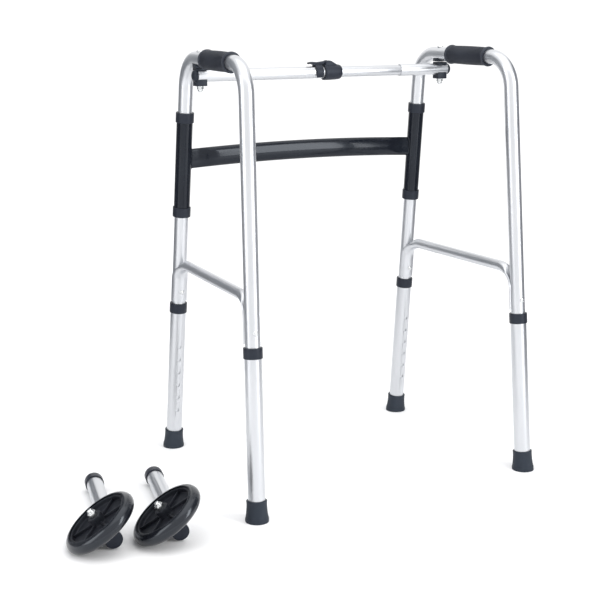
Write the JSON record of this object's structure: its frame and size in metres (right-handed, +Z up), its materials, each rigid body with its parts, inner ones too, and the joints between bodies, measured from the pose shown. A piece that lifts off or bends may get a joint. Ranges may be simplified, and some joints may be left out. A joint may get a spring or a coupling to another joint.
{
  "type": "folding walking frame",
  "caption": "Folding tubular walking frame with moulded grips, arched front crossbar, telescoping top bar, height-adjustable legs and removable wheel units lying beside it",
  "frame": {"origin": "on the floor, at the middle of the whole set's plan, wheel units included", "axes": "X runs from the user's left frame to the right one, Y to the front where the crossbar is, Z up"},
  "size_m": [0.875, 0.5014, 0.7546],
  "materials": {
    "satin_aluminium": "satin anodised tube",
    "black_enamel": "glossy black enamel",
    "black_plastic": "satin black moulded plastic",
    "grip_vinyl": "soft ribbed dark vinyl",
    "foot_rubber": "dark slate rubber",
    "zinc": "bright zinc plate",
    "wheel_plastic": "black moulded plastic",
    "tyre_vinyl": "smooth glossy black tread"
  },
  "bodies": {
    "front_frame": {"front_crossbar": "black_enamel", "left_upper_sleeve_collar": "black_plastic", "left_lower_sleeve_collar": "black_plastic", "right_upper_sleeve_collar": "black_plastic", "right_lower_sleeve_collar": "black_plastic"},
    "left_frame": {"left_side_tube": "satin_aluminium", "left_brace": "satin_aluminium", "left_grip": "grip_vinyl", "left_front_rivet": "zinc", "left_rear_rivet": "zinc", "left_frame_saddle": "black_plastic", "left_pivot_bolt": "zinc"},
    "left_front_leg": {"left_front_leg_tube": "satin_aluminium", "left_front_leg_collar": "black_plastic", "left_front_foot": "foot_rubber"},
    "left_front_button": {"left_front_snap_button": "zinc"},
    "left_rear_leg": {"left_rear_leg_tube": "satin_aluminium", "left_rear_leg_collar": "black_plastic", "left_rear_foot": "foot_rubber"},
    "left_rear_button": {"left_rear_snap_button": "zinc"},
    "right_frame": {"right_side_tube": "satin_aluminium", "right_brace": "satin_aluminium", "right_grip": "grip_vinyl", "right_front_rivet": "zinc", "right_rear_rivet": "zinc", "right_frame_saddle": "black_plastic", "right_pivot_bolt": "zinc"},
    "right_front_leg": {"right_front_leg_tube": "satin_aluminium", "right_front_leg_collar": "black_plastic", "right_front_foot": "foot_rubber"},
    "right_front_button": {"right_front_snap_button": "zinc"},
    "right_rear_leg": {"right_rear_leg_tube": "satin_aluminium", "right_rear_leg_collar": "black_plastic", "right_rear_foot": "foot_rubber"},
    "right_rear_button": {"right_rear_snap_button": "zinc"},
    "left_swivel": {"left_bar_saddle": "black_plastic"},
    "bar_left": {"top_bar_left_tube": "satin_aluminium", "left_under_saddle": "black_plastic", "left_pivot_nut": "zinc", "left_bar_plug": "black_plastic", "clip_collar": "black_plastic"},
    "bar_lever": {"clip_lever": "black_plastic"},
    "bar_middle": {"top_bar_middle_tube": "satin_aluminium"},
    "bar_right": {"top_bar_right_tube": "satin_aluminium", "right_bar_saddle": "black_plastic", "right_under_saddle": "black_plastic", "right_pivot_nut": "zinc", "right_bar_plug": "black_plastic"},
    "wheel_unit_1": {"wheel_1_stem": "satin_aluminium", "wheel_1_stem_collar": "black_plastic", "wheel_1_stem_plug": "black_plastic", "wheel_1_axle_bolt": "zinc"},
    "wheel_1": {"wheel_1_centre": "wheel_plastic", "wheel_1_tyre": "tyre_vinyl"},
    "wheel_unit_2": {"wheel_2_stem": "satin_aluminium", "wheel_2_stem_collar": "black_plastic", "wheel_2_stem_plug": "black_plastic", "wheel_2_axle_bolt": "zinc"},
    "wheel_2": {"wheel_2_centre": "wheel_plastic", "wheel_2_tyre": "tyre_vinyl"}
  },
  "joints": [
    {"name": "left_fold", "type": "hinge", "parent": "front_frame", "child": "left_frame", "pos_m": [-0.09348, 0.16961, 0.55], "axis": [0.0114, -0.1112, 0.9937], "range_deg": [0, 74]},
    {"name": "right_fold", "type": "hinge", "parent": "front_frame", "child": "right_frame", "pos_m": [0.392, 0.16961, 0.55], "axis": [0.0114, 0.1112, -0.9937], "range_deg": [0, 50]},
    {"name": "bar_turn", "type": "hinge", "parent": "left_frame", "child": "left_swivel", "pos_m": [-0.0944, 0.08456, 0.709], "axis": [0.0114, -0.1112, 0.9937], "range_deg": [-80.3, 0]},
    {"name": "bar_swing", "type": "hinge", "parent": "left_swivel", "child": "bar_left", "pos_m": [-0.0944, 0.08456, 0.709], "axis": [0, -0.0549, 0.9985], "range_deg": [0, 2.9]},
    {"name": "bar_slide_left", "type": "slide", "parent": "bar_left", "child": "bar_middle", "axis": [1, 0, 0], "range_m": [-0.064, 0]},
    {"name": "bar_slide_right", "type": "slide", "parent": "bar_middle", "child": "bar_right", "axis": [1, 0, 0], "range_m": [-0.052, 0]},
    {"name": "lock_lever", "type": "hinge", "parent": "bar_left", "child": "bar_lever", "pos_m": [0.15226, 0.08456, 0.7258], "axis": [0, 1, 0], "range_deg": [0, 58]},
    {"name": "left_front_height", "type": "slide", "parent": "left_frame", "child": "left_front_leg", "axis": [-0.0114, 0.1112, -0.9937], "range_m": [0, 0.127]},
    {"name": "left_front_push", "type": "slide", "parent": "left_frame", "child": "left_front_button", "axis": [0.0492, 0.9927, 0.1105], "range_m": [0, 0.0025], "stiffness_N_per_m": 300, "springref_m": -0.002},
    {"name": "left_rear_height", "type": "slide", "parent": "left_frame", "child": "left_rear_leg", "axis": [-0.0207, -0.0826, -0.9964], "range_m": [0, 0.127]},
    {"name": "left_rear_push", "type": "slide", "parent": "left_frame", "child": "left_rear_button", "axis": [-0.0461, -0.9954, 0.0835], "range_m": [0, 0.0025], "stiffness_N_per_m": 300, "springref_m": -0.002},
    {"name": "right_front_height", "type": "slide", "parent": "right_frame", "child": "right_front_leg", "axis": [0.0114, 0.1112, -0.9937], "range_m": [0, 0.127]},
    {"name": "right_front_push", "type": "slide", "parent": "right_frame", "child": "right_front_button", "axis": [-0.0492, 0.9927, 0.1105], "range_m": [0, 0.0025], "stiffness_N_per_m": 300, "springref_m": -0.002},
    {"name": "right_rear_height", "type": "slide", "parent": "right_frame", "child": "right_rear_leg", "axis": [0.0207, -0.0826, -0.9964], "range_m": [0, 0.127]},
    {"name": "right_rear_push", "type": "slide", "parent": "right_frame", "child": "right_rear_button", "axis": [0.0461, -0.9954, 0.0835], "range_m": [0, 0.0025], "stiffness_N_per_m": 300, "springref_m": -0.002},
    {"name": "wheel_unit_1_lift", "type": "slide", "parent": "front_frame", "child": "wheel_unit_1", "axis": [0, 0, 1], "range_m": [0, 0.3]},
    {"name": "wheel_1_spin", "type": "hinge", "parent": "wheel_unit_1", "child": "wheel_1", "pos_m": [-0.38394, -0.17004, 0.04233], "axis": [-0.5789, 0.1264, 0.8055], "continuous": true},
    {"name": "wheel_unit_2_lift", "type": "slide", "parent": "front_frame", "child": "wheel_unit_2", "axis": [0, 0, 1], "range_m": [0, 0.3]},
    {"name": "wheel_2_spin", "type": "hinge", "parent": "wheel_unit_2", "child": "wheel_2", "pos_m": [-0.27984, -0.18814, 0.04233], "axis": [-0.5789, 0.1264, 0.8055], "continuous": true}
  ],
  "couplings": [
    {"joint": "bar_turn", "follows": "left_fold", "ratio": -1.0834},
    {"joint": "bar_swing", "follows": "right_fold", "ratio": 0.056964},
    {"joint": "bar_slide_left", "follows": "left_fold", "m_per_rad": -0.049416},
    {"joint": "bar_slide_right", "follows": "right_fold", "m_per_rad": -0.059209}
  ]
}
